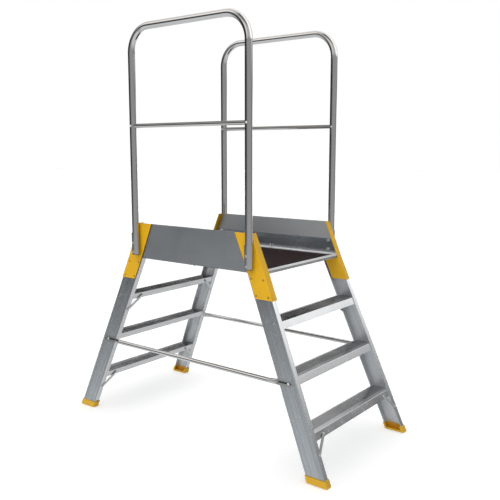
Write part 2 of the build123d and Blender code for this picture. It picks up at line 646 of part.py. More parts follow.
with BuildPart() as tie_bolt:
    with Locations(web_plane(TIE_BOLT, TIE_Z)):
        head(BOLT_HEAD_R, BOLT_HEAD_H, TIE_FLAT_T - TIE_DISH)
        pin(BOLT_R, TIE_FLAT_T - TIE_DISH, -WEB_T - NUT_H - THREAD_OUT)
save_group(tie_bolt, "tie_bolts")

with BuildPart() as deck_bolt:
    with Locations((0, -DECK_BOLT_Y, SEAT_Z)):
        pin(DECK_BOLT_R, DECK_T + ANGLE_T + DECK_BOLT_UP, 0)
        pin(DECK_NUT_R, 0, -DECK_NUT_H)
NEAR_FAR = ((1, -1), (1, 1))
save_group(deck_bolt, "deck_bolts", NEAR_FAR)


def nut(plane, radius, height, hole):
    """Hexagon nut hanging below a plane, with the bore for its bolt."""
    with BuildSketch(plane) as hexagon:
        RegularPolygon(radius, 6)
        Circle(hole + PLAY, mode=Mode.SUBTRACT)
    extrude(hexagon.sketch, amount=-height)


with BuildPart() as corner_nut:
    nut(web_plane(TIE_BOLT, TIE_Z).offset(-WEB_T), NUT_R, NUT_H, BOLT_R)
    for x, z in POST_BOLTS:
        nut(out_plane(x, ANGLE_IN, z), NUT_R, NUT_H, BOLT_R)
with BuildPart() as deck_nut:
    nut(Plane.XY.offset(LEDGE_Z + DECK_NUT_H).move(Location((0, -DECK_BOLT_Y, 0))),
        DECK_NUT_R, DECK_NUT_H, DECK_BOLT_R)
with BuildPart() as nuts:
    for side_x, side_y in CORNERS.values():
        add(moved(corner_nut.part, side_x, side_y))
    for side_x, side_y in NEAR_FAR:
        add(moved(deck_nut.part, side_x, side_y))
save(nuts, "nuts")

with BuildPart() as seat_screw:
    for x, y in SEAT_SCREWS:
        with Locations((x, -y, SEAT_Z - BRACKET_T)):
            pin(WOOD_HEAD_R, 0, -WOOD_HEAD_H)
            pin(WOOD_R, BRACKET_T + WOOD_L - PLAY, 0)
save_group(seat_screw, "seat_screws")
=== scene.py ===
# Looks of a double-sided step ladder with a railed platform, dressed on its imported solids.
# Lengths are in metres, in the frame of the solids: X along the walk, Y across, Z up.
import math
import bpy
import numpy as np
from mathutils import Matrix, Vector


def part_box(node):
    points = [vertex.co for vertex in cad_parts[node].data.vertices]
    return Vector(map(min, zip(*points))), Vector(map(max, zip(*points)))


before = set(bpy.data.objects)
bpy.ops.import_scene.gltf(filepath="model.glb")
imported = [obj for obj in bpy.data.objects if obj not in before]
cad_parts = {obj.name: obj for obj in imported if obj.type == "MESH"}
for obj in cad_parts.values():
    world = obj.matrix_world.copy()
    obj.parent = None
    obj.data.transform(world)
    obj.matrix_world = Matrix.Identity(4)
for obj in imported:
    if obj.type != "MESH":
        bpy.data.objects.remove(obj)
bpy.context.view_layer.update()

# Stiles: four aluminium channels, web outwards, leaning to the middle and slightly together.
# They are pressed through a die, so fine lines run along them, and the bare mill finish keeps
# soft dull patches where the bars were handled. The hollow side is a little duller.
first_tread, top_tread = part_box("tread_right_1")[1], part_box("tread_right_3")[1]
stile_low, stile_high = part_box("stile_right_far")
CLIMB = top_tread.z - first_tread.z
LEAN = math.atan((first_tread.x - top_tread.x) / CLIMB)  # the treads follow the slope of the stiles
SPLAY = math.atan((first_tread.y - top_tread.y) / CLIMB)
STILE_FOOT = stile_high.x + stile_low.z * math.tan(LEAN)  # front face, carried on to the floor
WEB_FOOT = stile_high.y + stile_low.z * math.tan(SPLAY)  # outer face of the web, carried on to the floor
HOLLOW_FROM, HOLLOW_TO = 0.0014, 0.0931  # behind the front face
HOLLOW_BACK = 0.0015  # behind the outer face
FAR = 1.0  # end of a range that has no limit of its own
STILE_COLOUR = (0.66, 0.67, 0.68)
STILE_ROUGHNESS, HOLLOW_ROUGHNESS = 0.23, 0.42
STILE_SATIN, HOLLOW_SATIN = 0.06, 0.28
STILE_CONTRAST = 0.12
STILE_BANDS = 60.0
LINE_SQUEEZE = 0.012
LINE_HEIGHT = 0.0004
BAND_LOW, BAND_HIGH = 0.36, 0.64
MARK_SIZE = 7.0
MARK_LOW, MARK_HIGH = 0.35, 0.68
MARK_DULLS, LINE_DULLS, CLEAN_GAIN = 0.09, 0.06, 0.04


def add_node(tree, kind, inputs=None, **settings):
    """A shader node. Its inputs are given by name or place, each as a value or as a socket to link."""
    made = tree.nodes.new("ShaderNode" + kind)
    for key, value in settings.items():
        setattr(made, key, value)
    for key, value in (inputs or {}).items():
        if isinstance(value, bpy.types.NodeSocket):
            tree.links.new(value, made.inputs[key])
        else:
            made.inputs[key].default_value = value
    return made


def maths(tree, operation, *terms):
    """The result of one arithmetic node on the terms."""
    return add_node(tree, "Math", dict(enumerate(terms)), operation=operation).outputs[0]


def ramp(tree, value, start, end):
    """A straight slope from 0 where the value is start to 1 where it is end, level beyond both."""
    return add_node(tree, "MapRange", {0: value, 1: start, 2: end}).outputs[0]


def new_group(name, inputs, outputs):
    """An empty shader group with named sockets: the tree, what comes in and what goes out."""
    tree = bpy.data.node_groups.new(name, "ShaderNodeTree")
    for side, sockets in (("INPUT", inputs), ("OUTPUT", outputs)):
        for socket, kind in sockets.items():
            tree.interface.new_socket(socket, in_out=side, socket_type="NodeSocket" + kind)
    return tree, tree.nodes.new("NodeGroupInput").outputs, tree.nodes.new("NodeGroupOutput").inputs


# Lines along a direction: noise read at positions squeezed along it, so each speck becomes a long line.
die_lines, given, gives = new_group(
    "die_lines", {"Position": "Vector", "Along": "Vector", "Density": "Float"}, {"Lines": "Float"})
reach = add_node(die_lines, "VectorMath", {0: given["Position"], 1: given["Along"]},
                 operation="DOT_PRODUCT")
pulled = maths(die_lines, "MULTIPLY", reach.outputs["Value"], 1.0 - LINE_SQUEEZE)
shift = add_node(die_lines, "VectorMath", {0: given["Along"], "Scale": pulled}, operation="SCALE")
squeezed = add_node(die_lines, "VectorMath", {0: given["Position"], 1: shift.outputs[0]},
                    operation="SUBTRACT")
specks = add_node(die_lines, "TexNoise", {"Vector": squeezed.outputs[0], "Scale": given["Density"],
                                          "Detail": 4.0, "Roughness": 0.62})
die_lines.links.new(specks.outputs["Fac"], gives["Lines"])

# Hand marks: soft cloudy patches of noise, from 0 clean to 1 dull.
hand_marks, given, gives = new_group(
    "hand_marks", {"Position": "Vector", "Size": "Float"}, {"Marks": "Float"})
cloud = add_node(hand_marks, "TexNoise", {"Vector": given["Position"], "Scale": given["Size"],
                                          "Detail": 5.0, "Roughness": 0.55, "Distortion": 0.6})
hand_marks.links.new(ramp(hand_marks, cloud.outputs["Fac"], MARK_LOW, MARK_HIGH), gives["Marks"])


def lines_of(tree, place, along, density):
    """The lines along a direction at a place."""
    return add_node(tree, "Group", {"Position": place, "Along": along, "Density": density},
                    node_tree=die_lines).outputs["Lines"]


def marks_of(tree, place, size):
    """The hand marks at a place."""
    return add_node(tree, "Group", {"Position": place, "Size": size}, node_tree=hand_marks).outputs["Marks"]


def new_material(name, colour, roughness, metallic):
    """A material with one Principled shader, its tree and that shader."""
    material = bpy.data.materials.new(name)
    material.use_nodes = True
    shader = material.node_tree.nodes["Principled BSDF"]
    shader.inputs["Base Color"].default_value = (*colour, 1.0)
    shader.inputs["Roughness"].default_value = roughness
    shader.inputs["Metallic"].default_value = metallic
    return material, material.node_tree, shader


def shade_between(tree, fac, low, high):
    """A colour that goes from low to high with fac."""
    mixed = add_node(tree, "Mix", {0: fac, 6: (*low, 1.0), 7: (*high, 1.0)}, data_type="RGBA")
    return mixed.outputs[2]


def emboss(tree, shader, strength, distance, height):
    """Tilts the surface by the slope of a height that changes over it."""
    bump = add_node(tree, "Bump", {"Strength": strength, "Distance": distance, "Height": height})
    tree.links.new(bump.outputs[0], shader.inputs["Normal"])


def bare_metal(name, colour, roughness, along, density=420.0, depth=0.05, contrast=0.10, satin=0.0,
               mirrored=False, bands=0.0):
    """Bare metal: lines along one direction tint, roughen and emboss it, and hand marks dull it in
    patches. The satin share scatters light as a fine etched skin does. Bands are a second, broader set
    of lines, which then give the tint. Mirrored metal has the same pattern on all four corners."""
    material, tree, shader = new_material(name, colour, roughness, 1.0 - satin)
    place = add_node(tree, "TexCoord").outputs["Object"]
    if mirrored:
        place = add_node(tree, "VectorMath", {0: place}, operation="ABSOLUTE").outputs[0]
    lines = lines_of(tree, place, along, density)
    tint = ramp(tree, lines_of(tree, place, along, bands), BAND_LOW, BAND_HIGH) if bands else lines
    dark = tuple(c * (1.0 - contrast) for c in colour)
    light = tuple(min(1.0, c * (1.0 + contrast)) for c in colour)
    tree.links.new(shade_between(tree, tint, dark, light), shader.inputs["Base Color"])
    marks = marks_of(tree, place, MARK_SIZE)
    dull = maths(tree, "MULTIPLY_ADD", marks, MARK_DULLS, roughness - CLEAN_GAIN)
    rough = maths(tree, "MULTIPLY_ADD", lines, LINE_DULLS, dull)
    tree.links.new(rough, shader.inputs["Roughness"])
    if depth:
        emboss(tree, shader, depth, LINE_HEIGHT, lines)
    return material


def dress(material, *starts):
    """Gives the material to every solid whose name starts with one of the words."""
    for name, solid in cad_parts.items():
        if name.startswith(starts):
            solid.data.materials.clear()
            solid.data.materials.append(material)


def places(material):
    """The material's tree, its shader and the X, Y and Z of the spot being shaded."""
    tree = material.node_tree
    spot = add_node(tree, "SeparateXYZ", {0: add_node(tree, "TexCoord").outputs["Object"]}).outputs
    return tree, tree.nodes["Principled BSDF"], spot


def both(tree, first, second):
    """1 where both masks are 1: their product."""
    return maths(tree, "MULTIPLY", first, second)


def between(tree, value, low, high):
    """1 where the value lies between low and high, otherwise 0."""
    return both(tree, maths(tree, "GREATER_THAN", value, low), maths(tree, "LESS_THAN", value, high))


def inwards(tree, place, axis, at_floor, tilt):
    """Distance inwards along one axis from a face that meets the floor at at_floor and leans by tilt."""
    face = maths(tree, "MULTIPLY_ADD", place["Z"], -math.tan(tilt), at_floor)
    return maths(tree, "SUBTRACT", face, maths(tree, "ABSOLUTE", place[axis]))


def duller(tree, shader, mask, satin, satin_there):
    """Gives the satin share a second value where the mask is 1."""
    share = maths(tree, "MULTIPLY_ADD", mask, satin - satin_there, 1.0 - satin)
    tree.links.new(share, shader.inputs["Metallic"])


def rougher(tree, shader, mask, roughness_there):
    """Sets the roughness to one value where the mask is 1."""
    before = shader.inputs["Roughness"].links[0].from_socket
    mixed = add_node(tree, "Mix", {0: mask, 2: before, 3: roughness_there})
    tree.links.new(mixed.outputs[0], shader.inputs["Roughness"])


up_stile = np.array([-math.tan(LEAN), -math.tan(SPLAY), 1.0])
up_stile /= np.linalg.norm(up_stile)
stile_metal = bare_metal("stile_extrusion", STILE_COLOUR, STILE_ROUGHNESS, tuple(up_stile),
                         contrast=STILE_CONTRAST, satin=STILE_SATIN, mirrored=True, bands=STILE_BANDS)
tree, shader, place = places(stile_metal)
hollow = both(tree,
              between(tree, inwards(tree, place, "X", STILE_FOOT, LEAN), HOLLOW_FROM, HOLLOW_TO),
              between(tree, inwards(tree, place, "Y", WEB_FOOT, SPLAY), HOLLOW_BACK, FAR))
duller(tree, shader, hollow, STILE_SATIN, HOLLOW_SATIN)
rougher(tree, shader, hollow, HOLLOW_ROUGHNESS)
dress(stile_metal, "stile_")

# Treads: six ribbed aluminium extrusions with a plain nosing, fixed by screws through the stile webs.
# The ribs run along the tread, and the grooves between them are painted dark as shade and made duller.
# The flush heads of the screws look like the stiles.
ACROSS = (0.0, 1.0, 0.0)
TREAD_STEP = CLIMB / 2
TREAD_COLOUR, GROOVE_SHADE_COLOUR = (0.66, 0.67, 0.68), (0.08, 0.08, 0.082)
TREAD_ROUGHNESS, GROOVE_ROUGHNESS = 0.20, 0.32
TREAD_LINES = 0.03
GROOVES_FROM, GROOVES_TO = 0.0275, 0.0860  # behind the front face of the stiles
GROOVE_TOP, GROOVE_FLOOR = -0.00044, -0.0013  # from the top of a tread


def paint_over(tree, shader, mask, colour):
    """Lays a colour over the base colour where the mask is 1."""
    under = shader.inputs["Base Color"].links[0].from_socket
    over = add_node(tree, "Mix", {0: mask, 6: under, 7: (*colour, 1.0)}, data_type="RGBA").outputs[2]
    tree.links.new(over, shader.inputs["Base Color"])


tread_metal = bare_metal("tread_extrusion", TREAD_COLOUR, TREAD_ROUGHNESS, ACROSS, depth=TREAD_LINES)
tree, shader, place = places(tread_metal)
back = inwards(tree, place, "X", STILE_FOOT, LEAN)
height = maths(tree, "ADD", place["Z"], TREAD_STEP / 2 - first_tread.z)
height = maths(tree, "SUBTRACT", maths(tree, "MODULO", height, TREAD_STEP), TREAD_STEP / 2)
groove_shade = both(tree, between(tree, back, GROOVES_FROM, GROOVES_TO),
              between(tree, height, GROOVE_FLOOR, GROOVE_TOP))
# painted shade: the grooves between the ribs are darkened
paint_over(tree, shader, groove_shade, GROOVE_SHADE_COLOUR)
rougher(tree, shader, groove_shade, GROOVE_ROUGHNESS)
dress(tread_metal, "tread_left", "tread_right")
dress(stile_metal, "tread_screws")

# Braces: strips punched from steel sheet and zinc plated, riveted to treads and stiles over spacers.
# The plating has a fine grain and no lines, and rivets and spacers share it.
NO_LINES = (0.0, 0.0, 0.0)
ZINC_COLOUR = (0.56, 0.57, 0.57)
ZINC_ROUGHNESS = 0.33
ZINC_GRAIN = 300.0
dress(bare_metal("zinc_plate", ZINC_COLOUR, ZINC_ROUGHNESS, NO_LINES, density=ZINC_GRAIN), "brace_")

# Feet: yellow shoes moulded in tough plastic, pressed over the stile ends.
# The mould leaves a fine grain, and the pocket on the inner side is painted a deeper orange as shade.
FOOT_COLOUR, POCKET_SHADE_COLOUR = (0.67, 0.39, 0.022), (0.53, 0.235, 0.008)
FOOT_ROUGHNESS = 0.5
PLASTIC_GLOSS, PLASTIC_GRAIN, PLASTIC_RELIEF = 0.35, 900.0, 0.12
POCKET_FROM, POCKET_TO = 0.0082, 0.0863  # behind the front face of the stiles
POCKET_BACK, POCKET_FLOOR = 0.0095, 0.0105  # behind the outer face of the web, and above the floor
DRIFT_SIZE, DRIFT_DEEPENS, DRIFT_DULLS, DRIFT_GAIN = 9.0, 0.93, 0.08, 0.04
GRAIN_HEIGHT = 0.0003


def coated(name, colour, roughness, gloss, grain, relief):
    """A coloured skin with an even grain and a slight drift of tone and shine."""
    material, tree, shader = new_material(name, colour, roughness, 0.0)
    place = add_node(tree, "TexCoord").outputs["Object"]
    drift = marks_of(tree, place, DRIFT_SIZE)
    deep = tuple(c * DRIFT_DEEPENS for c in colour)
    tree.links.new(shade_between(tree, drift, colour, deep), shader.inputs["Base Color"])
    rough = maths(tree, "MULTIPLY_ADD", drift, DRIFT_DULLS, roughness - DRIFT_GAIN)
    tree.links.new(rough, shader.inputs["Roughness"])
    grains = add_node(tree, "TexNoise", {"Vector": place, "Scale": grain, "Detail": 2.0})
    emboss(tree, shader, relief, GRAIN_HEIGHT, grains.outputs["Fac"])
    shader.inputs["Specular IOR Level"].default_value = gloss
    return material


foot_plastic = coated("foot_plastic", FOOT_COLOUR, FOOT_ROUGHNESS,
                      PLASTIC_GLOSS, PLASTIC_GRAIN, PLASTIC_RELIEF)
tree, shader, place = places(foot_plastic)
across = between(tree, inwards(tree, place, "X", STILE_FOOT, LEAN), POCKET_FROM, POCKET_TO)
deep = between(tree, inwards(tree, place, "Y", WEB_FOOT, SPLAY), POCKET_BACK, FAR)
raised = between(tree, place["Z"], POCKET_FLOOR, FAR)
# painted shade: the deep pocket on the inner side of each foot is darker
paint_over(tree, shader, both(tree, both(tree, across, deep), raised), POCKET_SHADE_COLOUR)
dress(foot_plastic, "foot_")

# Corner brackets: folded steel plates, powder coated yellow and riveted round the stile heads.
# The powder melts to a faint orange peel with a soft gloss, and the cut rear edges are painted dark as a
# line of shade.
# Their rivets are a darker brownish yellow.
COAT_COLOUR, CUT_EDGE_SHADE_COLOUR = (0.745, 0.412, 0.006), (0.17, 0.093, 0.016)
COAT_ROUGHNESS = 0.42
COAT_GLOSS, COAT_PEEL, COAT_RELIEF = 0.3, 500.0, 0.10
CUT_FROM, CUT_TO = 0.0900, 0.0935  # behind the front face of the stiles
RIVET_COLOUR = (0.36, 0.19, 0.03)
RIVET_ROUGHNESS = 0.45
bracket_coat = coated("yellow_powder_coat", COAT_COLOUR, COAT_ROUGHNESS, COAT_GLOSS, COAT_PEEL, COAT_RELIEF)
tree, shader, place = places(bracket_coat)
cut = between(tree, inwards(tree, place, "X", STILE_FOOT, LEAN), CUT_FROM, CUT_TO)
# painted shade: a dark line along the cut rear edges of the plates
paint_over(tree, shader, cut, CUT_EDGE_SHADE_COLOUR)
dress(bracket_coat, "bracket_left", "bracket_right")
dress(coated("darker_rivet", RIVET_COLOUR, RIVET_ROUGHNESS, COAT_GLOSS, COAT_PEEL, COAT_RELIEF),
      "bracket_rivets")

# Deck: a plywood panel faced with dark brown film, with the wire print of its press on it.
# It lies on the bracket seats and is screwed up from below.
DECK_COLOUR = (0.022, 0.0115, 0.0115)
DECK_ROUGHNESS = 0.5
FILM_GLOSS = 0.02
WIRE_PITCH, WIRE_TURN = 0.006, math.radians(45.0)
WAVE_IN_METRE = 0.314  # scale of a wave texture that has one wave in a metre
WIRE_RELIEF, WIRE_HEIGHT = 0.15, 0.0003
WEAR_SIZE, WEAR_LIGHTENS, WEAR_DULLS, WEAR_GAIN = 5.0, 1.35, 0.12, 0.06
deck_film, tree, shader = new_material("film_faced_board", DECK_COLOUR, DECK_ROUGHNESS, 0.0)
shader.inputs["Specular IOR Level"].default_value = FILM_GLOSS
place = add_node(tree, "TexCoord").outputs["Object"]
wires = []
for turn in (WIRE_TURN, -WIRE_TURN):
    turned = add_node(tree, "Mapping", {"Vector": place, "Rotation": (0.0, 0.0, turn)})
    wave = add_node(tree, "TexWave", {"Vector": turned.outputs[0], "Scale": WAVE_IN_METRE / WIRE_PITCH,
                                      "Distortion": 0.0})
    wires.append(wave.outputs["Fac"])
emboss(tree, shader, WIRE_RELIEF, WIRE_HEIGHT, maths(tree, "MAXIMUM", *wires))
wear = marks_of(tree, place, WEAR_SIZE)
worn_colour = tuple(c * WEAR_LIGHTENS for c in DECK_COLOUR)
tree.links.new(shade_between(tree, wear, DECK_COLOUR, worn_colour), shader.inputs["Base Color"])
worn = maths(tree, "MULTIPLY_ADD", wear, WEAR_DULLS, DECK_ROUGHNESS - WEAR_GAIN)
tree.links.new(worn, shader.inputs["Roughness"])
dress(deck_film, "deck_panel")

# End angles and stiffeners: aluminium sheet folded over the deck ends, and box sections under the deck.
# The rolls leave faint lines across the ladder, and the tops of the end angles are painted bright as a
# highlight.
SHEET_COLOUR, EDGE_TOP_HIGHLIGHT_COLOUR = (0.52, 0.53, 0.54), (0.88, 0.89, 0.90)
SHEET_ROUGHNESS = 0.36
EDGE_SATIN, EDGE_TOP_SATIN = 0.03, 0.70
EDGE_SKIN = 0.0005
EDGE_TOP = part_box("end_angle_right")[1].z - EDGE_SKIN
edge_metal = bare_metal("rolled_sheet_crosswise", SHEET_COLOUR, SHEET_ROUGHNESS, ACROSS, satin=EDGE_SATIN)
tree, shader, place = places(edge_metal)
top_highlight = between(tree, place["Z"], EDGE_TOP, FAR)
# painted highlight: the top faces of the end angles are lighter and more matt
paint_over(tree, shader, top_highlight, EDGE_TOP_HIGHLIGHT_COLOUR)
duller(tree, shader, top_highlight, EDGE_SATIN, EDGE_TOP_SATIN)
dress(edge_metal, "end_angle", "stiffener")

# Side angles: aluminium angles along the deck, bolted through toe boards, brackets and posts.
# They are drawn smooth, and the ledge on the deck is painted bright up into the corner as a highlight.
ALONG = (1.0, 0.0, 0.0)
DECK_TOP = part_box("deck_panel")[1].z
ANGLE_COLOUR, LEDGE_HIGHLIGHT_COLOUR = (0.50, 0.55, 0.59), (0.69, 0.70, 0.71)
ANGLE_ROUGHNESS = 0.2
ANGLE_SATIN, LEDGE_SATIN = 0.10, 0.55
LEDGE_TOP, LEDGE_FADE = 0.004, 0.024  # above the deck
angle_metal = bare_metal("drawn_angle", ANGLE_COLOUR, ANGLE_ROUGHNESS, ALONG, satin=ANGLE_SATIN)
tree, shader, place = places(angle_metal)
ledge = ramp(tree, place["Z"], DECK_TOP + LEDGE_FADE, DECK_TOP + LEDGE_TOP)
# painted highlight: the ledge next to the deck is lighter and more matt
paint_over(tree, shader, ledge, LEDGE_HIGHLIGHT_COLOUR)
duller(tree, shader, ledge, ANGLE_SATIN, LEDGE_SATIN)
dress(angle_metal, "side_angle")

# Toe boards: aluminium sheet with slanted ends, fixed between side angles and brackets.
# The rolls leave faint lines along them. The inner sides grow more matt towards one end, which paints in
# the light falling from that end.
board_low, board_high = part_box("toe_board_far")
BOARD_MIDDLE = (board_low.y + board_high.y) / 2
BOARD_SATIN, LIT_END_SATIN = 0.05, 0.55
board_metal = bare_metal("rolled_sheet_lengthwise", SHEET_COLOUR, SHEET_ROUGHNESS, ALONG, satin=BOARD_SATIN)
tree, shader, place = places(board_metal)
inner = maths(tree, "LESS_THAN", maths(tree, "ABSOLUTE", place["Y"]), BOARD_MIDDLE)
lit_end = both(tree, inner, ramp(tree, place["X"], board_low.x, board_high.x))
# painted light: the inner faces catch more light towards the +X end
duller(tree, shader, lit_end, BOARD_SATIN, LIT_END_SATIN)
dress(board_metal, "toe_board")

# Handrails, their saddles and the tie bars: drawn aluminium tube, bent and polished. The posts are bolted
# to the brackets under rolled half-round saddles of the same shine. The tie bars join the stiles, bolted
# through pressed ends, whose hollow is painted dark as shade.
RAIL_COLOUR, PRESSED_SHADE_COLOUR = (0.665, 0.64, 0.62), (0.14, 0.14, 0.14)
RAIL_ROUGHNESS = 0.06
RAIL_GRAIN, RAIL_CONTRAST = 160.0, 0.05
TIE_DROP = 0.030  # second tread to the axis of a tie bar
TIE_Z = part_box("tread_right_2")[1].z - TIE_DROP
TIE_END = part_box("tie_bar_far")[1].x
PRESSED_FROM, PRESSED_TO = 0.0745, 0.0065  # before the end of the bar
PRESSED_UNDER, PRESSED_OVER = 0.003, 0.0085  # from the axis
PRESSED_LOW, PRESSED_HIGH = 0.002, 0.0045  # out of the web
tube_metal = bare_metal("polished_tube", RAIL_COLOUR, RAIL_ROUGHNESS, NO_LINES, density=RAIL_GRAIN,
                        depth=0.0, contrast=RAIL_CONTRAST)
tree, shader, place = places(tube_metal)
outwards = maths(tree, "ABSOLUTE", place["X"])
at_end = both(tree, between(tree, outwards, TIE_END - PRESSED_FROM, TIE_END - PRESSED_TO),
              between(tree, place["Z"], TIE_Z - PRESSED_UNDER, TIE_Z + PRESSED_OVER))
sunk = between(tree, inwards(tree, place, "Y", WEB_FOOT, SPLAY), -PRESSED_HIGH, -PRESSED_LOW)
# painted shade: the hollow of each pressed end is dark
paint_over(tree, shader, both(tree, at_end, sunk), PRESSED_SHADE_COLOUR)
dress(tube_metal, "handrail", "tie_bar", "post_saddles")

# Mid rails: thinner aluminium tube, left as drawn and riveted into the posts.
# The upper side is painted darker, as a painted reflection of dark surroundings.
mid_low, mid_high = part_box("mid_rail_far")
MID_Z = (mid_low.z + mid_high.z) / 2
MID_R = (mid_high.y - mid_low.y) / 2
MID_COLOUR, MID_TOP_REFLECTION_COLOUR = (0.63, 0.60, 0.575), (0.19, 0.18, 0.172)
MID_ROUGHNESS = 0.12
DARK_TOP_FROM, DARK_TOP_TO = -0.4, 0.5  # in radii above the axis
mid_metal = bare_metal("drawn_tube", MID_COLOUR, MID_ROUGHNESS, ALONG, depth=0.0)
tree, shader, place = places(mid_metal)
upper = ramp(tree, place["Z"], MID_Z + DARK_TOP_FROM * MID_R, MID_Z + DARK_TOP_TO * MID_R)
# painted reflection: the upper side of the mid rails is darker
paint_over(tree, shader, upper, MID_TOP_REFLECTION_COLOUR)
dress(mid_metal, "mid_rail")

# Post plugs: black plastic caps pushed into the lower ends of the posts.
# They are moulded, with a matt skin.
PLUG_COLOUR = (0.016, 0.016, 0.016)
PLUG_ROUGHNESS = 0.55
dress(coated("plug_plastic", PLUG_COLOUR, PLUG_ROUGHNESS, PLASTIC_GLOSS, PLASTIC_GRAIN, PLASTIC_RELIEF),
      "post_plugs")

# Fasteners: zinc plated steel bolts, nuts, screws and rivets, pressed and turned.
# They are small and bright, and the bolts at the posts get a darker copy of the zinc as painted shade.
FASTENER_COLOUR = (0.80, 0.80, 0.79)
FASTENER_ROUGHNESS = 0.24
FASTENER_GRAIN = 500.0
FASTENER_SATIN = 0.65
dress(bare_metal("bright_zinc", FASTENER_COLOUR, FASTENER_ROUGHNESS, NO_LINES, density=FASTENER_GRAIN,
                 satin=FASTENER_SATIN),
      "nuts", "deck_bolts", "tie_bolts", "seat_screws", "rail_rivets")
# painted shade: the bolts at the posts are darker than the other fasteners
dress(bare_metal("shaded_zinc", ZINC_COLOUR, FASTENER_ROUGHNESS, NO_LINES, density=FASTENER_GRAIN),
      "post_bolts")

# Camera: it stands where the photo was taken, half a metre above the deck, and is aimed slightly down.
# Place, aim and lens were fitted to the straight edges of the ladder in the photo.
CAMERA_PLACE = (2.1617, -2.6523, 1.3956)
CAMERA_TILT = math.radians(81.59)
CAMERA_TURN = math.radians(37.90)
CAMERA_LENS, CAMERA_SENSOR = 48.8, 36.0  # millimetres
CAMERA_REACH = 200.0
scene = bpy.context.scene
scene.view_settings.view_transform = "Standard"
camera_data = bpy.data.cameras.new("camera")
camera_data.lens = CAMERA_LENS
camera_data.sensor_width = CAMERA_SENSOR
camera_data.clip_end = CAMERA_REACH
camera = bpy.data.objects.new("camera", camera_data)
camera.location = CAMERA_PLACE
camera.rotation_euler = (CAMERA_TILT, 0.0, CAMERA_TURN)
scene.collection.objects.link(camera)
scene.camera = camera

# Sky: even light from all round, less from above than from the side.
# Where it is seen, by the camera or in a reflection, it is plain white.
SKY_LOW, SKY_HIGH = 0.90, 0.15
WHITE = (1.0, 1.0, 1.0, 1.0)
world = bpy.data.worlds.new("studio")
scene.world = world
world.use_nodes = True
sky = world.node_tree
background = sky.nodes["Background"]
background.inputs["Color"].default_value = WHITE
rays = add_node(sky, "LightPath").outputs
seen = maths(sky, "MAXIMUM", rays["Is Camera Ray"], rays["Is Glossy Ray"])
seen = maths(sky, "MAXIMUM", seen, rays["Is Transmission Ray"])
aim = add_node(sky, "SeparateXYZ", {0: add_node(sky, "TexCoord").outputs["Generated"]})
haze = add_node(sky, "MapRange", {0: aim.outputs["Z"], 3: SKY_LOW, 4: SKY_HIGH})
level = add_node(sky, "Mix", {0: seen, 2: haze.outputs[0], 3: 1.0})
sky.links.new(level.outputs[0], background.inputs["Strength"])

# Floor: a plain white sheet that reaches past the picture and keeps the ladder's soft shadow.
# The camera sees it lifted to near white. In shiny surfaces the cards stand in for it.
FLOOR_HALF = 40.0
FLOOR_COLOUR = (0.97, 0.97, 0.97)
FLOOR_ROUGHNESS = 0.9
FLOOR_LIFT = 0.24
floor_mesh = bpy.data.meshes.new("floor")
corners = np.array([[-1, -1, 0], [1, -1, 0], [1, 1, 0], [-1, 1, 0]]) * FLOOR_HALF
floor_mesh.from_pydata(corners.tolist(), [], [(0, 1, 2, 3)])
floor = bpy.data.objects.new("floor", floor_mesh)
floor_paint, tree, shader = new_material("white_floor", FLOOR_COLOUR, FLOOR_ROUGHNESS, 0.0)
shader.inputs["Specular IOR Level"].default_value = 0.0
shader.inputs["Emission Color"].default_value = WHITE
lift = maths(tree, "MULTIPLY", add_node(tree, "LightPath").outputs["Is Camera Ray"], FLOOR_LIFT)
tree.links.new(lift, shader.inputs["Emission Strength"])
floor.visible_glossy = False
floor_mesh.materials.append(floor_paint)
scene.collection.objects.link(floor)

# Lamps: two broad soft lamps, far away. One lights the ladder from the left of the camera. The other
# lights the floor from straight above, and only the feet and the lowest treads shade it there.
LAMP_LEVEL, FLOOR_LAMP_LEVEL = 1.62, 1.45
LAMP_SPREAD, FLOOR_LAMP_SPREAD = math.radians(60.0), math.radians(100.0)
LAMP_BEARING = math.radians(-92.0)
LAMP_RISE = math.radians(48.0)


def soft_lamp(name, level, spread):
    """A broad lamp far away that shines straight down, which shiny surfaces don't see."""
    data = bpy.data.lights.new(name, "SUN")
    data.energy = level
    data.angle = spread
    lamp = bpy.data.objects.new(name, data)
    lamp.visible_glossy = False
    scene.collection.objects.link(lamp)
    return lamp


def collected(name, solids):
    """A collection of these objects, for a lamp to light or to be shaded by."""
    collection = bpy.data.collections.new(name)
    for solid in solids:
        collection.objects.link(solid)
    return collection


lamp = soft_lamp("soft_lamp", LAMP_LEVEL, LAMP_SPREAD)
lamp.rotation_euler = (math.pi / 2 - LAMP_RISE, 0.0, LAMP_BEARING + math.pi / 2)
lamp.light_linking.receiver_collection = collected("lit_by_lamp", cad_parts.values())
low_pieces = [solid for name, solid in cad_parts.items()
              if name.startswith("foot_") or name.endswith("_1")]
floor_lamp = soft_lamp("floor_lamp", FLOOR_LAMP_LEVEL, FLOOR_LAMP_SPREAD)
floor_lamp.data.cycles.use_multiple_importance_sampling = False
floor_lamp.light_linking.receiver_collection = collected("lit_by_floor_lamp", [floor])
floor_lamp.light_linking.blocker_collection = collected("shading_the_floor", low_pieces)

# Cards: the dark walls, pale ground and white panels of a studio, on a ball far round the ladder.
# Only shiny surfaces see them. Bearings are from +X and heights from the horizon, in degrees.
CARD_RADIUS = 150.0
CARD_TURNS, CARD_RISES = 181, 91
COOL = np.array([0.94, 1.0, 1.05])
WALL_DARK, WALL_LIFT, WALL_DROP = 0.035, 0.355, 0.4
GROUND_LIGHT, GROUND_DROP, PATCH_LIFT = 0.82, 0.10, 0.30
GROUND_FADE = 18.5
SLANT_LOW, SLANT_RATE, SLANT_TURN, SLANT_SPAN = 5.2, 0.12, 57.0, 60.0
SLANT_FADE, SLANT_START = 8.9, 0.16


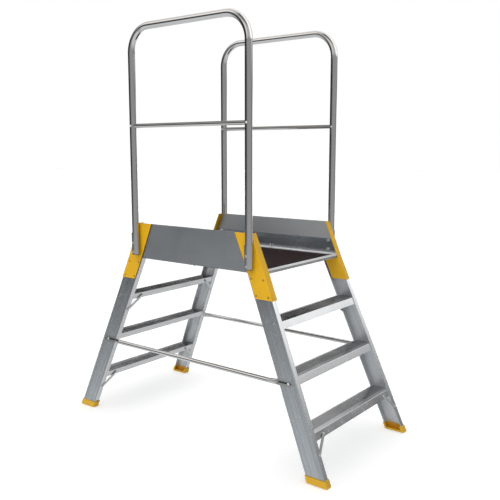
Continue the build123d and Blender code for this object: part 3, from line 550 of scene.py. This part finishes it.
def smooth_step(low, high, x):
    """0 below low and 1 above high. With t the share of the way, it is 3 t squared less 2 t cubed."""
    t = np.clip((x - low) / (high - low), 0.0, 1.0)
    return t * t * (3.0 - 2.0 * t)


def window(low, high, edge, x):
    """1 between low and high, fading to 0 over the edge on both sides."""
    return smooth_step(low - edge, low, x) * (1.0 - smooth_step(high, high + edge, x))


def towards(centre, half, edge, turn):
    """1 within half of the centre bearing, fading to 0 over the edge, all in degrees."""
    off = np.abs((turn - centre + 180.0) % 360.0 - 180.0)
    return 1.0 - smooth_step(half, half + edge, off)


def card_light(turn, rise):
    """Light of the cards by bearing and height. Dark grey walls, lighter round the camera and darker high
    up, stand on a ground that brightens downwards by one minus a bell curve. The ground is a little duller
    at the back on the right, and has a bright and a dark patch on the left. Walls and ground are cool in
    tint, but not at the back on the right. The brightest of nine white panels, each a level times a range
    of bearings times a range of heights with soft edges, lies over them."""
    wall = WALL_DARK + WALL_LIFT * towards(-30.0, 45.0, 60.0, turn)
    patches = (towards(-137.0, 7.0, 8.0, turn) * window(16.0, 24.0, 5.0, -rise)
               - towards(-117.0, 6.0, 6.0, turn) * smooth_step(20.0, 27.0, -rise))
    ground = GROUND_LIGHT - GROUND_DROP * towards(65.0, 40.0, 30.0, turn) + PATCH_LIFT * patches
    below = np.clip(-rise, 0.0, 90.0)
    ground = wall + (ground - wall) * (1.0 - np.exp(-(below / GROUND_FADE) ** 2.0))
    wall = np.where(rise < 0.0, ground, wall * (1.0 - WALL_DROP * smooth_step(42.0, 48.0, rise)))
    slant = SLANT_LOW + SLANT_RATE * np.clip(SLANT_TURN - turn, 0.0, SLANT_SPAN)
    slanted = np.clip((rise - slant) / SLANT_FADE + SLANT_START, 0.0, 1.0)
    panels = np.maximum.reduce([
        # the main panel on the right, with a slanted lower edge
        1.50 * towards(35.0, 38.0, 15.0, turn) * slanted,
        # between the camera and the left side, and over the camera
        1.00 * towards(-97.0, 14.0, 10.0, turn) * window(13.0, 32.0, 5.0, rise),
        0.60 * towards(-45.0, 40.0, 15.0, turn) * window(16.0, 42.0, 6.0, rise),
        # a low screen behind the ladder, and high ones behind it and behind its left side
        1.45 * towards(104.0, 26.0, 6.0, turn) * window(-30.0, 3.0, 3.0, rise),
        0.95 * towards(115.0, 40.0, 20.0, turn) * smooth_step(17.5, 23.5, rise),
        0.75 * towards(190.0, 50.0, 25.0, turn) * smooth_step(22.0, 36.0, rise),
        # on the left, with a bright spot over it
        0.50 * towards(-135.0, 20.0, 10.0, turn) * window(16.0, 30.0, 4.0, rise),
        1.30 * towards(-140.0, 14.0, 10.0, turn) * window(29.0, 45.0, 7.0, rise),
        # the roof
        1.25 * towards(85.0, 75.0, 20.0, turn) * smooth_step(34.0, 50.0, rise)])
    cool = 1.0 + (COOL - 1.0) * (1.0 - towards(65.0, 60.0, 30.0, turn))[..., None]
    return wall[..., None] * cool + np.maximum(panels - wall, 0.0)[..., None]


# A grid of bearings and heights gives the places on the ball, the faces between them and the light there.
turn, rise = np.meshgrid(np.linspace(-180.0, 180.0, CARD_TURNS), np.linspace(-90.0, 90.0, CARD_RISES))
around, above = np.radians(turn), np.radians(rise)
spots = CARD_RADIUS * np.stack(
    [np.cos(above) * np.cos(around), np.cos(above) * np.sin(around), np.sin(above)], axis=-1)
number = np.arange(CARD_TURNS * CARD_RISES).reshape(CARD_RISES, CARD_TURNS)
quads = np.stack([number[:-1, :-1], number[1:, :-1], number[1:, 1:], number[:-1, 1:]], axis=-1)
card_mesh = bpy.data.meshes.new("cards")
card_mesh.from_pydata(spots.reshape(-1, 3).tolist(), [], quads.reshape(-1, 4).tolist())
light = card_light(turn, rise).reshape(-1, 3)
tone = card_mesh.attributes.new("tone", "FLOAT_COLOR", "POINT")
tone.data.foreach_set("color", np.hstack([light, np.ones((len(light), 1))]).astype(np.float32).ravel())
cards = bpy.data.objects.new("cards", card_mesh)
card_tone = bpy.data.materials.new("card_tone")
card_tone.use_nodes = True
tree = card_tone.node_tree
tree.nodes.clear()
painted = add_node(tree, "Attribute", attribute_name="tone")
glow = add_node(tree, "Emission", {"Color": painted.outputs["Color"]})
add_node(tree, "OutputMaterial", {"Surface": glow.outputs[0]})
card_mesh.materials.append(card_tone)
cards.visible_camera = False
cards.visible_diffuse = False
cards.visible_transmission = False
cards.visible_shadow = False
scene.collection.objects.link(cards)
